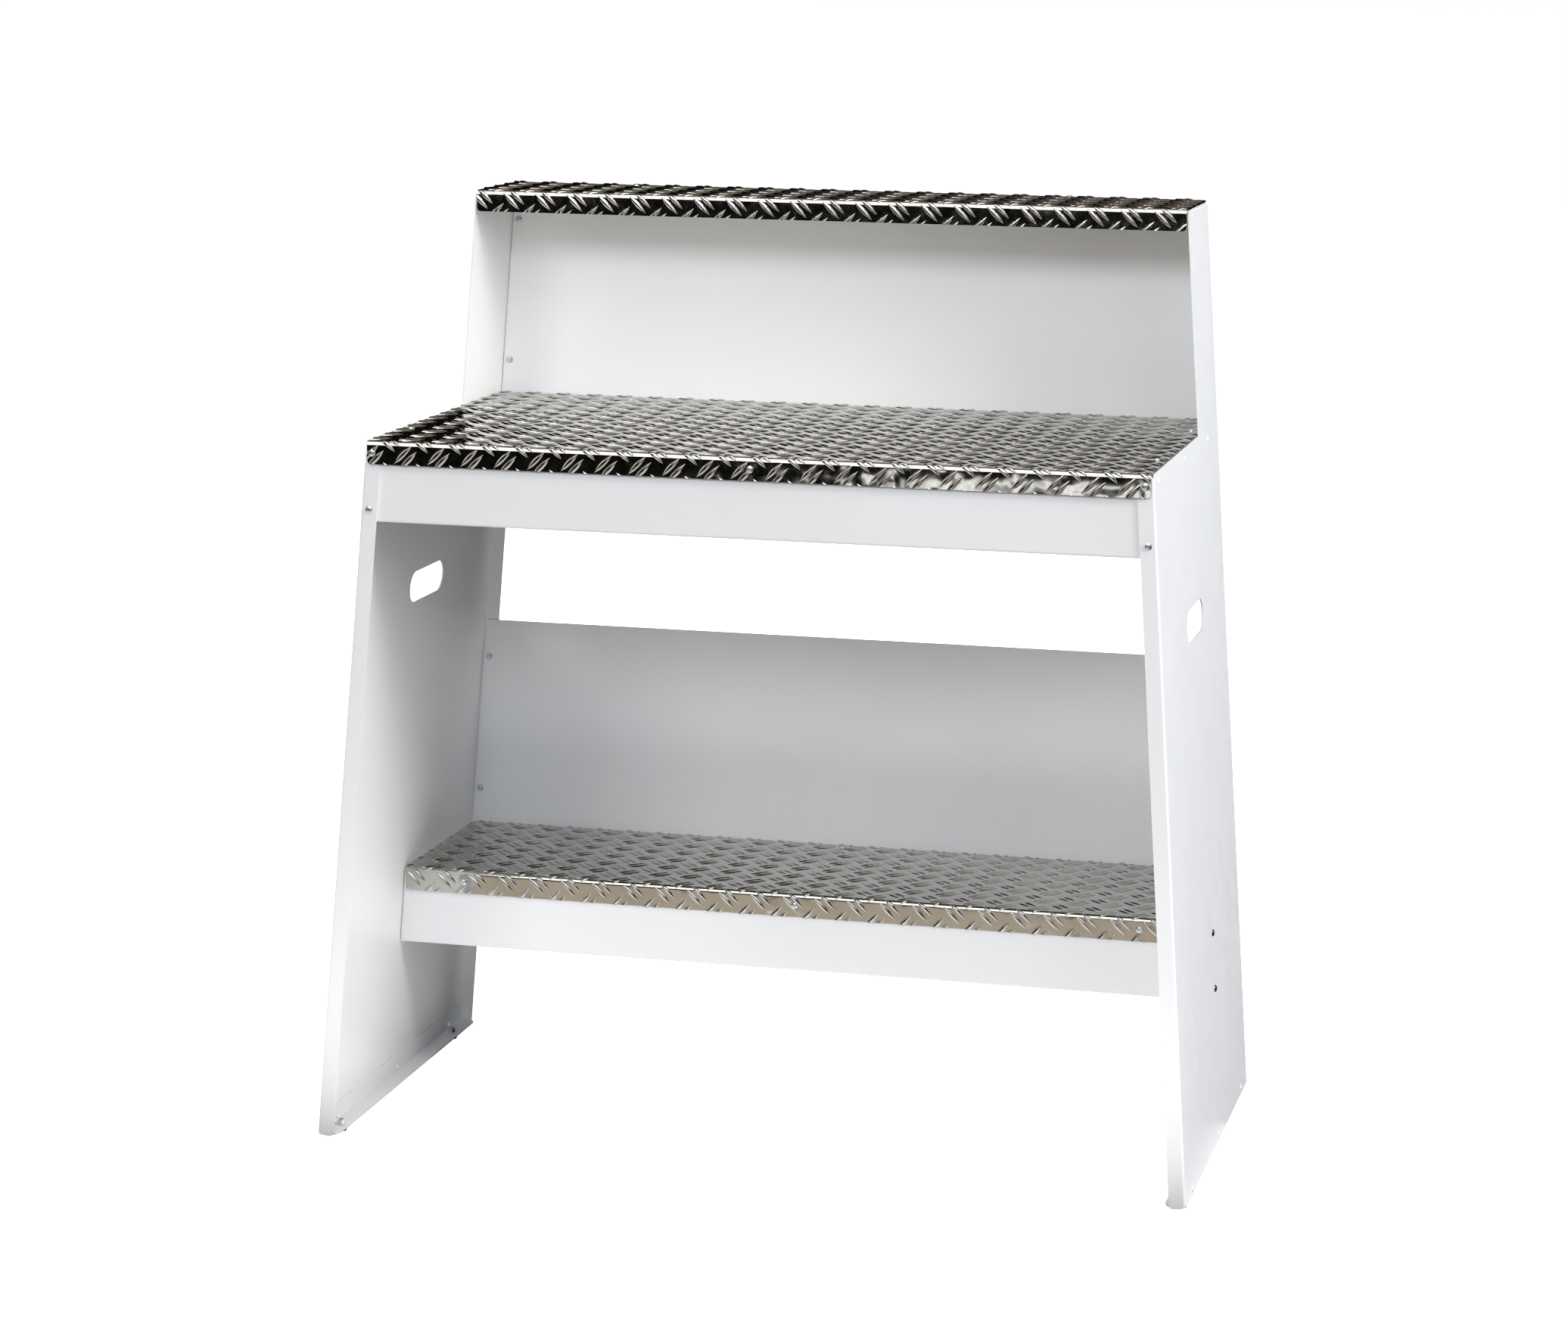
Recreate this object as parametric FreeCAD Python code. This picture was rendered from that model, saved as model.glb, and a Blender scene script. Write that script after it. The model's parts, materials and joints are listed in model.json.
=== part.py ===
"""Three-deck tread-plate stand: folded sheet-metal sides, beams and back panels, bolted together.

Working frame, in millimetres: x = 0 in the middle, y = 0 at the front face of the middle deck's lip
with +y to the back, z = 0 at the bottom edge of the side panels. The finished parts are moved so that
the row's origin is the middle of the bounding box at floor level.
"""
import FreeCAD
import Part
import math
import os

from FreeCAD import Vector

# --- driving dimensions -------------------------------------------------------------------------

MID_HALF_WIDTH = 500.0      # outer half width of the side panels at the middle deck
SPLAY = 0.0745              # how far each side panel runs outwards per millimetre down
TOP_DECK_Z = 1198.0         # upper surfaces of the three decks
MID_DECK_Z = 908.0
LOW_DECK_Z = 294.4
BACK_Y = 550.0              # rear face of the side panels
BASE_FRONT_Y = -20.5        # front edge of the side panels at the floor
TOP_DECK_FRONT_Y = 379.3    # front faces of the lips
MID_DECK_FRONT_Y = 0.0
LOW_DECK_FRONT_Y = 255.6

SHEET = 2.0                 # painted sheet steel
DECK_SHEET = 2.5            # tread plate, without its raised bars
FLANGE = 21.0               # width of the side panels' folded flanges
TOP_LIP = 28.3              # heights of the lips folded down at the decks' front
MID_LIP = 29.3
LOW_LIP = 30.8
MID_BEAM_BOTTOM_Z = MID_DECK_Z - 103.2
LOW_BEAM_BOTTOM_Z = LOW_DECK_Z - 104.7
LOW_BACK_TOP_Z = 585.7
FOOT_HEIGHT = 5.0
FOOT_RADIUS = 8.0

GAP = 0.1                   # paint and assembly gap between neighbouring sheets
UPPER_BACK_SIDE_GAP = 1.2   # play between the side panels, at each end of a sheet
LOWER_BACK_SIDE_GAP = 2.6
MID_BEAM_SIDE_GAP = 1.5
MID_DECK_SIDE_GAP = 0.7
LOW_DECK_SIDE_GAP = 2.7
TOP_DECK_INSET = 2.6        # from the side panels' outer faces to the top deck's ends
BEND = 3.0                  # outer bend radius of the painted sheets
DECK_BEND = 6.0             # outer bend radius of the decks
CORNER = 5.0                # radius of cut sheet corners
FOLD_RELIEF = 6.0           # reach of the rounded corner at the bottom of the front fold

BEAM_FLANGE = 25.0          # rearward flanges of the two front beams
BEAM_END_FLANGE = 60.0      # depth of the lower beam's end flanges
RAIL_WIDTH = 30.0           # horizontal legs of the deck rails
RAIL_HEIGHT = 26.0
RAIL_FRONT_Y = 14.0
RAIL_BACK_Y = 489.0
BASE_ANGLE_WIDTH = 25.5
BASE_ANGLE_HEIGHT = 26.0
BASE_ANGLE_END_GAP = 1.0    # before the rear flange
BASE_ANGLE_BEVEL = (5.0, 10.0)    # of the horizontal leg's corners, across and along
UPPER_BACK_TOP_FLANGE = 40.0
UPPER_BACK_LOW_FLANGE = 56.0
LOWER_BACK_FLANGE = 38.0
FLANGE_END_GAPS = (3.0, 4.0, 7.0)    # at the ends of the back panels' flanges, from top to bottom
RAIL_GAP = 4.0              # between a deck rail and the middle beam's upper flange

SLOT_LENGTH = 134.0         # hand slots in the side panels
SLOT_WIDTH = 41.0
SLOT_Y = 276.0
SLOT_Z = 684.0
SLOT_REACH = 9.0            # how far the slot's cutting tool reaches to each side of a panel

# --- standard parts -----------------------------------------------------------------------------

SCREW_R = 2.5               # M5 button head screws
SCREW_HOLE_R = 2.75
HEAD_R = 4.75
HEAD_HEIGHT = 2.75
SOCKET_ACROSS_FLATS = 3.0
SOCKET_DEPTH = 1.6
NUT_ACROSS_FLATS = 8.0      # M5 hexagon nuts
NUT_HEIGHT = 4.0
FOOT_NUT_HEIGHT = 8.0       # the feet are held by tall nuts
NUT_BORE_R = 2.55
SHORT_SCREW = 10.0
LIP_SCREW = 12.0
RIVET_R = 2.0               # 4 mm blind rivets
RIVET_HOLE_R = 2.05
RIVET_HEAD_R = 4.0
RIVET_HEAD_HEIGHT = 1.5
RIVET_BULB_R = 2.9
RIVET_BULB_HEIGHT = 3.0
MANDREL_R = 1.1             # hole in the rivet's head where its mandrel broke off
MANDREL_PIT = 0.6

# --- where the fasteners are --------------------------------------------------------------------

BASE_RIVETS_Y = (38.0, 273.0, 492.6)
BASE_RIVET_Z = 8.0
RAIL_RIVETS_Y = (38.0, 245.5, 453.0)
RAIL_RIVET_Z = MID_DECK_Z - 13.0
FEET_Y = (20.0, 470.0)
FOOT_X = 550.0
MID_LIP_SCREWS_X = (-491.0, 0.0, 491.0)
MID_LIP_SCREW_Z = MID_DECK_Z - 15.0
FLANGE_SCREW_Z = 820.5
MID_SIDE_SCREWS_Y = (131.0, 421.0)
MID_SIDE_SCREW_X = 484.5
REAR_SCREW_X = 298.0
MID_REAR_SCREW_Y = 508.0
TOP_REAR_SCREW_Y = 529.0
UPPER_BACK_SCREWS_Z = (1147.0, 953.0)
LOWER_BACK_SCREWS_Z = (533.0, 343.0)
LOW_SCREWS_X = (-459.0, 0.0, 459.0)
LOW_LIP_SCREW_Z = LOW_DECK_Z - 15.4
LOW_REAR_SCREW_Y = 531.0
BEAM_SIDE_SCREW_Y = 297.0
BEAM_SIDE_SCREWS_Z = (271.0, 197.0)

# --- worked-out values --------------------------------------------------------------------------

TILT = math.atan(SPLAY)
LEAN = (MID_DECK_FRONT_Y + DECK_SHEET + GAP - BASE_FRONT_Y) / (MID_DECK_Z - MID_LIP)
BACK_PANEL_Y = BACK_Y - SHEET - GAP - SHEET      # front face of both back panels
UPPER_FRONT_Y = TOP_DECK_FRONT_Y + DECK_SHEET + GAP
TOP_FLANGE_Z = TOP_DECK_Z - DECK_SHEET - GAP     # upper faces of what the decks lie on
MID_SEAT_Z = MID_DECK_Z - DECK_SHEET - GAP
LOW_SEAT_Z = LOW_DECK_Z - DECK_SHEET - GAP
SCREW_TAIL = SHORT_SCREW - 2 * SHEET - GAP       # what a screw shows behind the rear flange
ORIGIN_Y = (BASE_FRONT_Y + BACK_Y + SCREW_TAIL) / 2
X_AXIS = Vector(1, 0, 0)
Y_AXIS = Vector(0, 1, 0)
Z_AXIS = Vector(0, 0, 1)
SIDES = (("left", -1), ("right", 1))


def half_width(z):
    """Outer half width between the side panels' outer faces at height z."""
    return MID_HALF_WIDTH + SPLAY * (MID_DECK_Z - z)


def inner_half_width(z, gap=0.0):
    """Half width between the side panels' inner faces, less a gap."""
    return half_width(z) - (SHEET + gap) / math.cos(TILT)


def front_edge(z):
    """y of the side panel's leaning front face."""
    return BASE_FRONT_Y + LEAN * z


# --- solids -------------------------------------------------------------------------------------

def polygon_prism(points, along):
    wire = Part.makePolygon(points + [points[0]])
    return Part.Face(wire).extrude(along)


def prism_x(points_yz, x0, x1):
    return polygon_prism([Vector(x0, y, z) for y, z in points_yz], X_AXIS * (x1 - x0))


def prism_y(points_xz, y0, y1):
    return polygon_prism([Vector(x, y0, z) for x, z in points_xz], Y_AXIS * (y1 - y0))


def on_panel(y, z, t=0.0):
    """Point at depth y and height z on the right panel's outer face, t outwards from it."""
    outward = Vector(math.cos(TILT), 0, math.sin(TILT))
    return Vector(half_width(z), y, z) + outward * t


def panel_prism(points_yz, t0, t1):
    """Prism across the right panel's thickness direction, from t0 to t1 outwards."""
    outward = Vector(math.cos(TILT), 0, math.sin(TILT))
    return polygon_prism([on_panel(y, z, t0) for y, z in points_yz], outward * (t1 - t0))


def mirrored(shape):
    return shape.mirror(Vector(0, 0, 0), X_AXIS)


def round_edges(shape, radius, wanted):
    """Fillet the straight edges for which wanted(middle, direction) is true."""
    chosen = []
    for edge in shape.Edges:
        if len(edge.Vertexes) != 2:
            continue
        start, end = (vertex.Point for vertex in edge.Vertexes)
        direction = (end - start).normalize()
        if wanted((start + end) * 0.5, direction):
            chosen.append(edge)
    return shape.makeFillet(radius, chosen)


def near(value, target, tolerance=0.05):
    return abs(value - target) < tolerance


def placed(shape, point, direction):
    """Copy of a shape that was made at the origin along +z, moved to point and turned to direction."""
    moved = shape.copy()
    moved.Placement = FreeCAD.Placement(point, FreeCAD.Rotation(Z_AXIS, direction))
    return moved


def drilled(shape, holes):
    """Cut round holes; each hole is (centre, axis, radius), and reaches 15 mm each way."""
    reach = 15.0
    tools = []
    for centre, axis, radius in holes:
        axis = Vector(axis).normalize()
        tools.append(Part.makeCylinder(radius, 2 * reach, centre - axis * reach, axis))
    return shape.cut(Part.makeCompound(tools))


# --- standard parts -----------------------------------------------------------------------------

def hexagon(across_flats, z0, z1):
    radius = across_flats / math.sqrt(3)
    angles = [math.radians(60 * i) for i in range(6)]
    corners = [Vector(radius * math.cos(angle), radius * math.sin(angle), z0) for angle in angles]
    return polygon_prism(corners, Z_AXIS * (z1 - z0))


def screw(length):
    """Button head screw; its head's seat is at the origin, the head above it, the shank below."""
    rim = 0.4
    crown = Part.Arc(Vector(HEAD_R, 0, rim),
                     Vector(HEAD_R * 0.82, 0, HEAD_HEIGHT * 0.72),
                     Vector(HEAD_R * 0.42, 0, HEAD_HEIGHT)).toShape()
    corners = [Vector(HEAD_R * 0.42, 0, HEAD_HEIGHT), Vector(0, 0, HEAD_HEIGHT), Vector(0, 0, -length),
               Vector(SCREW_R - 0.5, 0, -length), Vector(SCREW_R, 0, 0.5 - length),
               Vector(SCREW_R, 0, 0), Vector(HEAD_R, 0, 0), Vector(HEAD_R, 0, rim)]
    wire = Part.Wire([crown] + Part.makePolygon(corners).Edges)
    body = Part.Face(wire).revolve(Vector(0, 0, 0), Z_AXIS, 360)
    return body.cut(hexagon(SOCKET_ACROSS_FLATS, HEAD_HEIGHT - SOCKET_DEPTH, HEAD_HEIGHT + 1))


def nut(height=NUT_HEIGHT):
    """Hexagon nut with chamfered corners, standing on the origin."""
    blank = hexagon(NUT_ACROSS_FLATS, 0, height)
    corner = NUT_ACROSS_FLATS / math.sqrt(3)
    flat = NUT_ACROSS_FLATS / 2
    rise = (corner - flat) * math.tan(math.radians(30))
    outline = [Vector(0, 0, 0), Vector(flat, 0, 0), Vector(corner, 0, rise),
               Vector(corner, 0, height - rise), Vector(flat, 0, height), Vector(0, 0, height)]
    envelope = Part.Face(Part.makePolygon(outline + [outline[0]])).revolve(Vector(0, 0, 0), Z_AXIS, 360)
    return blank.common(envelope).cut(Part.makeCylinder(NUT_BORE_R, height))


def rivet(grip):
    """Blind rivet; its head's seat is at the origin, the head above it, the set end below the grip."""
    crown_z = RIVET_HEAD_HEIGHT
    tail_z = -grip - RIVET_BULB_HEIGHT
    head = Part.Arc(Vector(RIVET_HEAD_R, 0, 0),
                    Vector(RIVET_HEAD_R * 0.76, 0, crown_z * 0.75),
                    Vector(MANDREL_R, 0, crown_z)).toShape()
    bulb = Part.Arc(Vector(MANDREL_R, 0, tail_z),
                    Vector(RIVET_BULB_R * 0.8, 0, -grip - RIVET_BULB_HEIGHT * 0.8),
                    Vector(RIVET_BULB_R, 0, -grip)).toShape()
    shank = Part.makePolygon([Vector(RIVET_BULB_R, 0, -grip), Vector(RIVET_R, 0, -grip),
                              Vector(RIVET_R, 0, 0), Vector(RIVET_HEAD_R, 0, 0)])
    pit_z = crown_z - MANDREL_PIT
    core = Part.makePolygon([Vector(MANDREL_R, 0, crown_z), Vector(MANDREL_R, 0, pit_z),
                             Vector(0, 0, pit_z), Vector(0, 0, tail_z), Vector(MANDREL_R, 0, tail_z)])
    wire = Part.Wire(Part.__sortEdges__([head, bulb] + shank.Edges + core.Edges))
    return Part.Face(wire).revolve(Vector(0, 0, 0), Z_AXIS, 360)


# --- fastener places: (seat of the head, direction the head faces) -------------------------------

LEAN_FRONT = Vector(0, -1, LEAN).normalize()
PANEL_OUT = Vector(math.cos(TILT), 0, math.sin(TILT))
FORWARD = Vector(0, -1, 0)


def flange_middle_x(z):
    return half_width(z) - FLANGE / 2


def both_sides(places):
    """The places for the right side, followed by their mirror images."""
    flip = [(Vector(-p.x, p.y, p.z), Vector(-d.x, d.y, d.z)) for p, d in places]
    return places + flip


def base_rivet_places():
    return [(on_panel(y, BASE_RIVET_Z), PANEL_OUT) for y in BASE_RIVETS_Y]


def rail_rivet_places():
    return [(on_panel(y, RAIL_RIVET_Z), PANEL_OUT) for y in RAIL_RIVETS_Y]


def foot_places():
    seat = -FOOT_HEIGHT + HEAD_HEIGHT + 0.5
    return both_sides([(Vector(FOOT_X, y, seat), -Z_AXIS) for y in FEET_Y])


def mid_lip_places():
    return [(Vector(x, MID_DECK_FRONT_Y, MID_LIP_SCREW_Z), FORWARD) for x in MID_LIP_SCREWS_X]


def flange_places():
    z = FLANGE_SCREW_Z
    return both_sides([(Vector(flange_middle_x(z), front_edge(z), z), LEAN_FRONT)])


def mid_side_places():
    return both_sides([(Vector(MID_SIDE_SCREW_X, y, MID_DECK_Z), Z_AXIS) for y in MID_SIDE_SCREWS_Y])


def mid_rear_places():
    return both_sides([(Vector(REAR_SCREW_X, MID_REAR_SCREW_Y, MID_DECK_Z), Z_AXIS)])


def top_rear_places():
    return both_sides([(Vector(REAR_SCREW_X, TOP_REAR_SCREW_Y, TOP_DECK_Z), Z_AXIS)])


def back_places(heights):
    inset = 1.0     # the holes sit this much nearer the panel than the flange's middle
    return both_sides([(Vector(flange_middle_x(z) - inset, BACK_PANEL_Y, z), FORWARD) for z in heights])


def low_lip_places():
    return [(Vector(x, LOW_DECK_FRONT_Y, LOW_LIP_SCREW_Z), FORWARD) for x in LOW_SCREWS_X]


def low_rear_places():
    return [(Vector(x, LOW_REAR_SCREW_Y, LOW_DECK_Z), Z_AXIS) for x in LOW_SCREWS_X]


def beam_side_places():
    return both_sides([(on_panel(BEAM_SIDE_SCREW_Y, z), PANEL_OUT) for z in BEAM_SIDE_SCREWS_Z])


def holes_at(places, radius=SCREW_HOLE_R):
    return [(seat, facing, radius) for seat, facing in places]


# --- sheet-metal parts --------------------------------------------------------------------------

def fold_corner():
    """Tool that rounds the bottom corner of the right-hand panel's front fold."""
    centre = Vector(half_width(CORNER) - CORNER, front_edge(0) - 1, CORNER)
    block = Part.makeBox(CORNER + 1, FOLD_RELIEF + 1, CORNER + 1, centre - Z_AXIS * (CORNER + 1))
    return block.cut(Part.makeCylinder(CORNER, FOLD_RELIEF + 1, centre, Y_AXIS))


def side_panel():
    """Right-hand panel: one folded sheet with front, rear and top flanges and a hand slot."""
    shoulder_z = MID_DECK_Z - 0.5
    flange_top_z = MID_SEAT_Z - 2.0
    rear_top_z = TOP_FLANGE_Z - SHEET - 1.0
    notch_front_y = front_edge(flange_top_z) + BEND + 0.5
    notch_back_y = BACK_PANEL_Y - 0.5
    top_fold_y = UPPER_FRONT_Y + DECK_BEND - DECK_SHEET + 0.5
    outline = [(front_edge(0), 0), (front_edge(flange_top_z), flange_top_z), (notch_front_y, flange_top_z),
               (notch_front_y, shoulder_z), (UPPER_FRONT_Y, shoulder_z), (UPPER_FRONT_Y, rear_top_z),
               (top_fold_y, rear_top_z), (top_fold_y, TOP_FLANGE_Z), (notch_back_y, TOP_FLANGE_Z),
               (notch_back_y, rear_top_z), (BACK_Y, rear_top_z), (BACK_Y, 0)]
    wall = panel_prism(outline, -SHEET, 0)
    front = panel_prism([(front_edge(0), 0), (front_edge(flange_top_z), flange_top_z),
                         (front_edge(flange_top_z) + SHEET, flange_top_z), (front_edge(0) + SHEET, 0)],
                        -FLANGE, -SHEET / 2)
    rear = panel_prism([(BACK_Y - SHEET, 0), (BACK_Y - SHEET, rear_top_z),
                        (BACK_Y, rear_top_z), (BACK_Y, 0)], -FLANGE, -SHEET / 2)
    inner = half_width(TOP_FLANGE_Z) - FLANGE
    lower_z = TOP_FLANGE_Z - SHEET
    top = prism_y([(half_width(TOP_FLANGE_Z), TOP_FLANGE_Z), (inner, TOP_FLANGE_Z), (inner, lower_z),
                   (half_width(lower_z), lower_z)], top_fold_y, notch_back_y)
    panel = wall.fuse([front, rear, top]).removeSplitter()

    def is_fold(middle, direction):
        on_outer_face = near(middle.x, half_width(middle.z))
        upright = abs(direction.z) > 0.9
        front_fold = near(middle.y, front_edge(middle.z)) and upright and middle.z < MID_DECK_Z
        rear_fold = near(middle.y, BACK_Y) and upright
        top_fold = near(middle.z, TOP_FLANGE_Z) and abs(direction.y) > 0.9
        return on_outer_face and (front_fold or rear_fold or top_fold)

    def is_flange_corner(middle, direction):
        inward = half_width(middle.z) - middle.x
        return near(inward, FLANGE, 0.6) and middle.z < 3 and abs(direction.y) > 0.9

    panel = round_edges(panel, BEND, is_fold)
    panel = round_edges(panel, CORNER, is_flange_corner)
    slot_end = SLOT_WIDTH / 2
    run = SLOT_LENGTH / 2 - slot_end
    end_radius = slot_end / math.cos(TILT)
    tools = [panel_prism([(SLOT_Y - run, SLOT_Z - slot_end), (SLOT_Y + run, SLOT_Z - slot_end),
                          (SLOT_Y + run, SLOT_Z + slot_end), (SLOT_Y - run, SLOT_Z + slot_end)],
                         -SLOT_REACH, SLOT_REACH)]
    for y in (SLOT_Y - run, SLOT_Y + run):
        start = on_panel(y, SLOT_Z, -SLOT_REACH)
        tools.append(Part.makeCylinder(end_radius, 2 * SLOT_REACH, start, PANEL_OUT))
    panel = panel.cut(tools[0].fuse(tools[1:])).cut(fold_corner())
    holes = holes_at(base_rivet_places() + rail_rivet_places(), RIVET_HOLE_R)
    holes += holes_at(beam_side_places()[:2] + flange_places()[:1] + mid_lip_places()[2:])
    holes += holes_at(back_places(UPPER_BACK_SCREWS_Z)[:2] + back_places(LOWER_BACK_SCREWS_Z)[:2])
    return drilled(panel, holes)


def angle_bar(foot_z, height, width, foot_below, y0, y1):
    """Angle along the right panel's inner face, its horizontal leg's outer face at foot_z."""
    face = inner_half_width(foot_z, GAP)
    sign = 1 if foot_below else -1
    tip_z = foot_z + sign * height
    tip = inner_half_width(tip_z, GAP)
    leg = prism_y([(face, foot_z), (tip, tip_z), (tip - SHEET, tip_z), (face - SHEET, foot_z)], y0, y1)
    inner_z = foot_z + sign * SHEET
    face_in = inner_half_width(inner_z, GAP)
    shelf = prism_y([(face, foot_z), (face - width, foot_z), (face - width, inner_z), (face_in, inner_z)],
                    y0, y1)
    bar = leg.fuse(shelf).removeSplitter()
    return round_edges(bar, BEND, lambda m, d: near(m.z, foot_z) and near(m.x, face) and abs(d.y) > 0.9)


def base_angle():
    """Right-hand base angle: stiffens the panel's bottom edge and carries the feet."""
    front_y = BASE_FRONT_Y + SHEET + 1.5
    back_y = BACK_Y - SHEET - BASE_ANGLE_END_GAP
    bar = angle_bar(0.0, BASE_ANGLE_HEIGHT, BASE_ANGLE_WIDTH, True, front_y, back_y)
    inner = inner_half_width(0, GAP) - BASE_ANGLE_WIDTH
    bevel_x, bevel_y = BASE_ANGLE_BEVEL
    for corner_y, step in ((front_y, bevel_y), (back_y, -bevel_y)):
        corner = [Vector(inner - 0.01, corner_y - step * 0.01, -1), Vector(inner + bevel_x, corner_y, -1),
                  Vector(inner - 0.01, corner_y + step, -1)]
        bar = bar.cut(polygon_prism(corner, Z_AXIS * (SHEET + 2)))
    top_z = BASE_ANGLE_HEIGHT
    bar = round_edges(bar, CORNER, lambda m, d: near(m.z, top_z, 0.2) and abs(d.x) > 0.9)
    feet = [(seat, facing, SCREW_HOLE_R) for seat, facing in foot_places()[:2]]
    return drilled(bar, holes_at(base_rivet_places(), RIVET_HOLE_R) + feet)


def deck_rail():
    """Right-hand rail under the middle deck."""
    bar = angle_bar(MID_SEAT_Z, RAIL_HEIGHT, RAIL_WIDTH, False, RAIL_FRONT_Y, RAIL_BACK_Y)
    return drilled(bar, holes_at(rail_rivet_places(), RIVET_HOLE_R) + holes_at(mid_side_places()[:2]))


def deck(surface_z, front_y, back_y, half, lip, holes):
    """Deck plate with a lip folded down at its front."""
    under_z = surface_z - DECK_SHEET
    lip_z = surface_z - lip
    inner_y = front_y + DECK_SHEET
    section = [(front_y, surface_z), (back_y, surface_z), (back_y, under_z), (inner_y, under_z),
               (inner_y, lip_z), (front_y, lip_z)]
    plate = prism_x(section, -half, half)
    plate = round_edges(plate, DECK_BEND,
                        lambda m, d: near(m.y, front_y) and near(m.z, surface_z) and abs(d.x) > 0.9)
    plate = round_edges(plate, DECK_BEND - DECK_SHEET,
                        lambda m, d: near(m.y, inner_y) and near(m.z, under_z) and abs(d.x) > 0.9)
    plate = round_edges(plate, CORNER, lambda m, d: near(m.z, lip_z) and abs(d.y) > 0.9)
    return drilled(plate, holes_at(holes))


def top_deck_plate():
    half = half_width(TOP_FLANGE_Z) - TOP_DECK_INSET
    return deck(TOP_DECK_Z, TOP_DECK_FRONT_Y, BACK_Y - 1.0, half, TOP_LIP, top_rear_places())


def middle_deck_plate():
    half = inner_half_width(MID_DECK_Z) - MID_DECK_SIDE_GAP
    holes = mid_lip_places() + mid_side_places() + mid_rear_places()
    return deck(MID_DECK_Z, MID_DECK_FRONT_Y, BACK_PANEL_Y - 0.5, half, MID_LIP, holes)


def lower_deck_plate():
    half = inner_half_width(LOW_DECK_Z) - LOW_DECK_SIDE_GAP
    holes = low_lip_places() + low_rear_places()
    return deck(LOW_DECK_Z, LOW_DECK_FRONT_Y, BACK_PANEL_Y - 0.5, half, LOW_LIP, holes)


def middle_front_beam():
    """Leaning channel behind the side panels' front flanges, under the middle deck."""
    low_z = MID_BEAM_BOTTOM_Z
    high_z = MID_SEAT_Z
    face = SHEET + GAP

    def web_point(z, depth):
        return (front_edge(z) + face + depth, z)

    reach = half_width(low_z)
    web = prism_x([web_point(low_z, 0), web_point(high_z, 0),
                   web_point(high_z, SHEET), web_point(low_z, SHEET)], -reach, reach)
    foot = prism_x([web_point(low_z, 0), web_point(low_z + SHEET, 0),
                    (front_edge(low_z) + face + BEAM_FLANGE, low_z + SHEET),
                    (front_edge(low_z) + face + BEAM_FLANGE, low_z)], -reach, reach)
    head_half = inner_half_width(high_z) - RAIL_WIDTH - RAIL_GAP
    head = prism_x([web_point(high_z - SHEET, 0), web_point(high_z, 0),
                    (front_edge(high_z) + face + BEAM_FLANGE, high_z),
                    (front_edge(high_z) + face + BEAM_FLANGE, high_z - SHEET)], -head_half, head_half)
    beam = web.fuse([foot, head]).removeSplitter()
    beam = beam.common(between_sides(low_z - 1, high_z + 1, MID_BEAM_SIDE_GAP))

    def is_front_fold(middle, direction):
        bottom = near(middle.z, low_z) and near(middle.y, web_point(low_z, 0)[0])
        top = near(middle.z, high_z) and near(middle.y, web_point(high_z, 0)[0]) and abs(middle.x) < 1
        return abs(direction.x) > 0.9 and (bottom or top)

    beam = round_edges(beam, BEND, is_front_fold)
    return drilled(beam, holes_at(mid_lip_places() + flange_places()))


def between_sides(z0, z1, gap):
    """Space between the side panels' inner faces, less a gap on each side."""
    wide = inner_half_width(z0, gap)
    narrow = inner_half_width(z1, gap)
    return prism_y([(-wide, z0), (wide, z0), (narrow, z1), (-narrow, z1)], BASE_FRONT_Y - 10, BACK_Y + 10)


def lower_front_beam():
    """Channel under the lower deck's front, with end flanges screwed to the side panels."""
    low_z = LOW_BEAM_BOTTOM_Z
    high_z = LOW_SEAT_Z
    face_y = LOW_DECK_FRONT_Y + DECK_SHEET + GAP
    reach = half_width(low_z)
    section = [(face_y, low_z), (face_y, high_z), (face_y + BEAM_FLANGE, high_z),
               (face_y + BEAM_FLANGE, high_z - SHEET), (face_y + SHEET, high_z - SHEET),
               (face_y + SHEET, low_z + SHEET), (face_y + BEAM_FLANGE, low_z + SHEET),
               (face_y + BEAM_FLANGE, low_z)]
    channel = prism_x(section, -reach, reach).common(between_sides(low_z - 1, high_z + 1, GAP))
    end_y = face_y + BEAM_END_FLANGE
    end_low = low_z + 1.0
    end_high = high_z - 1.0
    end = panel_prism([(face_y, end_low), (face_y, end_high), (end_y, end_high), (end_y, end_low)],
                      -2 * SHEET - GAP, -SHEET - GAP)
    end = round_edges(end, CORNER, lambda m, d: near(m.y, end_y) and abs(d.x) > 0.9)
    beam = channel.fuse([end, mirrored(end)]).removeSplitter()

    def is_front_fold(middle, direction):
        along_fold = (near(middle.z, low_z) or near(middle.z, high_z)) and abs(direction.x) > 0.9
        along_end = near(abs(middle.x), inner_half_width(middle.z, GAP)) and abs(direction.z) > 0.9
        return near(middle.y, face_y) and (along_fold or along_end)

    beam = round_edges(beam, DECK_BEND - DECK_SHEET, is_front_fold)
    return drilled(beam, holes_at(low_lip_places() + beam_side_places()))


def back_panel(low_z, high_z, side_gap, flanges, holes):
    """Sheet on the side panels' rear flanges; flanges are (upper face z, reach forwards, half width)."""
    back = BACK_PANEL_Y + SHEET
    reach = half_width(low_z)
    web = prism_x([(BACK_PANEL_Y, low_z), (BACK_PANEL_Y, high_z), (back, high_z), (back, low_z)],
                  -reach, reach)
    panel = web.common(between_sides(low_z - 1, high_z + 1, side_gap))
    for top_z, forward, half in flanges:
        front = back - forward
        shelf = prism_x([(front, top_z - SHEET), (front, top_z), (back, top_z), (back, top_z - SHEET)],
                        -half, half)
        shelf = round_edges(shelf, CORNER, lambda m, d: near(m.y, front) and abs(d.z) > 0.9)
        panel = panel.fuse(shelf)
    return drilled(panel.removeSplitter(), holes_at(holes))


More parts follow.
